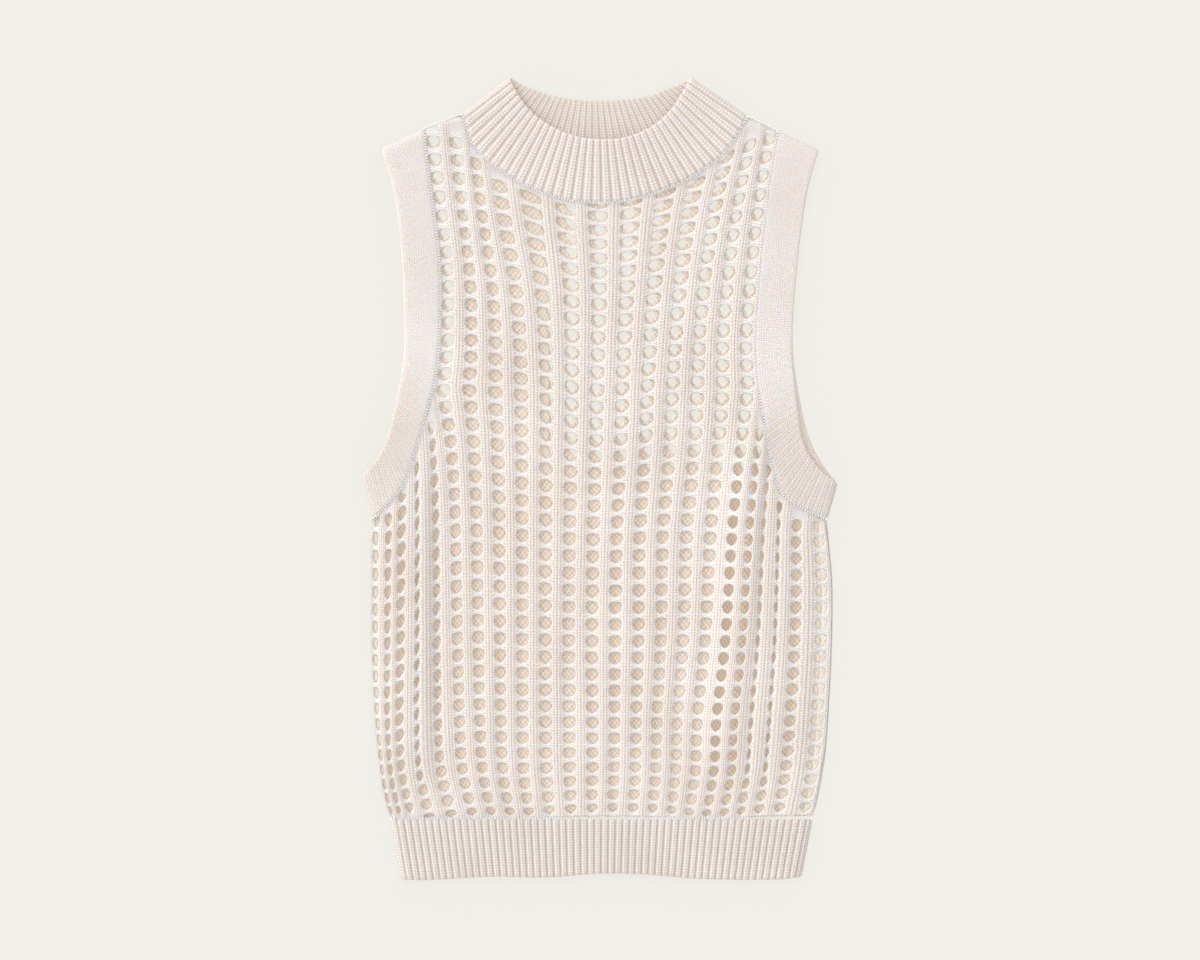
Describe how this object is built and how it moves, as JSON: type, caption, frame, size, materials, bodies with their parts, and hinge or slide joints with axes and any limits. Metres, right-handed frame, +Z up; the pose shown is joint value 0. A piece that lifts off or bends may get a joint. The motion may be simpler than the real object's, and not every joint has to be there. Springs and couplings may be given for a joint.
{
  "type": "sleeveless pullover sweater",
  "caption": "Sleeveless openwork knit pullover with a ribbed mock neck, wide ribbed armhole bands and a ribbed hem, laid flat with its front up.",
  "frame": {"origin": "middle of the bounding box's underside, on the surface that the garment lies on", "axes": "+X to the right as the front is seen, +Y towards the collar, +Z up out of the garment's front"},
  "size_m": [0.38, 0.642, 0.0158],
  "materials": {
    "openwork_knit": "ivory cotton openwork knit, matt",
    "rib_knit": "ivory cotton one by one rib knit, matt"
  },
  "bodies": {
    "root": {"front_body": "openwork_knit", "back_body": "openwork_knit", "neck_collar": "rib_knit", "armhole_band_left": "rib_knit", "armhole_band_right": "rib_knit", "hem_rib": "rib_knit"}
  },
  "joints": []
}
